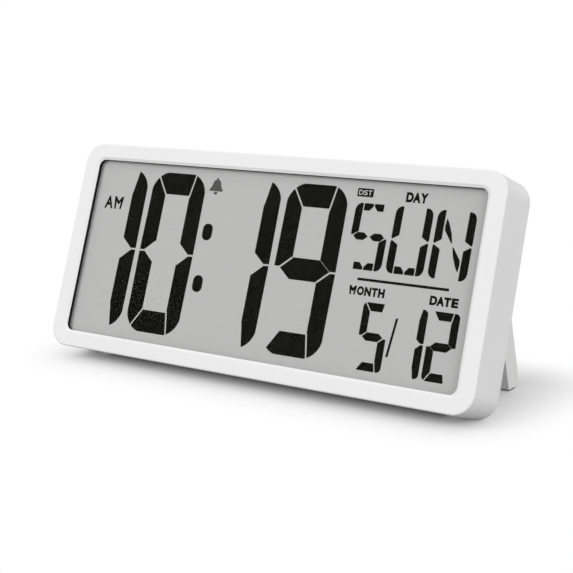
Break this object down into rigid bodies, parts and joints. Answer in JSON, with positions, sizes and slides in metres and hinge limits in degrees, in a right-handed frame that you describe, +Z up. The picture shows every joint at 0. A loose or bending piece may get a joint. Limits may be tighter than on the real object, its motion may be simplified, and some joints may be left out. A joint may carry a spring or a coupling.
{
  "type": "dementia day clock",
  "caption": "Wide digital calendar clock with large display digits, weekday, month and date, and a fold-out rear stand.",
  "frame": {"origin": "centre of the footprint on the surface that the clock stands on, with the stand open", "axes": "+X to the right seen from the front and along the case's width, -Y out of the display, +Z up"},
  "size_m": [0.36, 0.1204, 0.1606],
  "materials": {
    "case_white": "fine satin moulded surface",
    "cover_white": "fine spark texture",
    "clear_lens": "clear acrylic, faint gloss",
    "black_foam": "matte black foam",
    "display_glass": "thin glass with polariser",
    "segment_black": "dark liquid crystal",
    "reflector_silver": "satin grey reflector",
    "tray_white": "moulded",
    "steel": "bright zinc",
    "contact_rubber": "soft striped rubber",
    "board_green": "green solder mask",
    "chip_black": "black resin",
    "spring_nickel": "nickel plated",
    "wire_cover": "soft wire insulation",
    "key_grey": "fine matte",
    "ribbon_grey": "flat cable",
    "sounder_brass": "thin brass disc",
    "pad_rubber": "soft grip",
    "cell_wrap": "plain printed sleeve"
  },
  "bodies": {
    "case": {"front_housing": "case_white", "rear_cover": "cover_white", "display_lens": "clear_lens", "window_gasket": "black_foam", "lcd_front_glass": "display_glass", "lcd_rear_glass": "display_glass", "time_segments": "segment_black", "calendar_segments": "segment_black", "lcd_reflector": "reflector_silver", "lcd_carrier": "tray_white", "carrier_screws": "steel", "board_screws": "steel", "case_screws": "steel", "key_board_screws": "steel", "stand_pins": "steel", "contact_strip": "contact_rubber", "main_board": "board_green", "key_board": "board_green", "board_parts": "chip_black", "battery_springs": "spring_nickel", "contact_plates": "spring_nickel", "battery_wires": "wire_cover", "sounder_wires": "wire_cover", "tact_switches": "chip_black", "ribbon_cable": "ribbon_grey", "sounder": "sounder_brass", "battery_cell_1": "cell_wrap", "battery_cell_2": "cell_wrap", "battery_cell_3": "cell_wrap", "battery_cell_4": "cell_wrap"},
    "stand_frame": {"stand": "cover_white", "stand_feet": "pad_rubber"},
    "door": {"battery_door": "cover_white"},
    "alarm_slider": {"alarm_switch": "key_grey"},
    "set_button": {"set_key": "key_grey"},
    "up_button": {"up_key": "key_grey"},
    "down_button": {"down_key": "key_grey"},
    "alarm_button": {"alarm_key": "key_grey"},
    "snooze_button": {"snooze_key": "key_grey"}
  },
  "joints": [
    {"name": "stand_hinge", "type": "hinge", "parent": "case", "child": "stand_frame", "pos_m": [0, 0.01475, 0.13846], "axis": [1, 0, 0], "range_deg": [-35, 0]},
    {"name": "door_hinge", "type": "hinge", "parent": "case", "child": "door", "pos_m": [-0.062, -0.00996, 0.04659], "axis": [1, 0, 0], "range_deg": [-30, 0]},
    {"name": "set_press", "type": "slide", "parent": "case", "child": "set_button", "axis": [0, -0.9453, 0.3262], "range_m": [0, 0.0008], "stiffness_N_per_m": 500, "springref_m": -0.001},
    {"name": "up_press", "type": "slide", "parent": "case", "child": "up_button", "axis": [0, -0.9453, 0.3262], "range_m": [0, 0.0008], "stiffness_N_per_m": 500, "springref_m": -0.001},
    {"name": "down_press", "type": "slide", "parent": "case", "child": "down_button", "axis": [0, -0.9453, 0.3262], "range_m": [0, 0.0008], "stiffness_N_per_m": 500, "springref_m": -0.001},
    {"name": "alarm_press", "type": "slide", "parent": "case", "child": "alarm_button", "axis": [0, -0.9453, 0.3262], "range_m": [0, 0.0008], "stiffness_N_per_m": 500, "springref_m": -0.001},
    {"name": "snooze_press", "type": "slide", "parent": "case", "child": "snooze_button", "axis": [0, -0.9453, 0.3262], "range_m": [0, 0.0008], "stiffness_N_per_m": 500, "springref_m": -0.001},
    {"name": "alarm_slide", "type": "slide", "parent": "case", "child": "alarm_slider", "axis": [1, 0, 0], "range_m": [0, 0.004]}
  ]
}
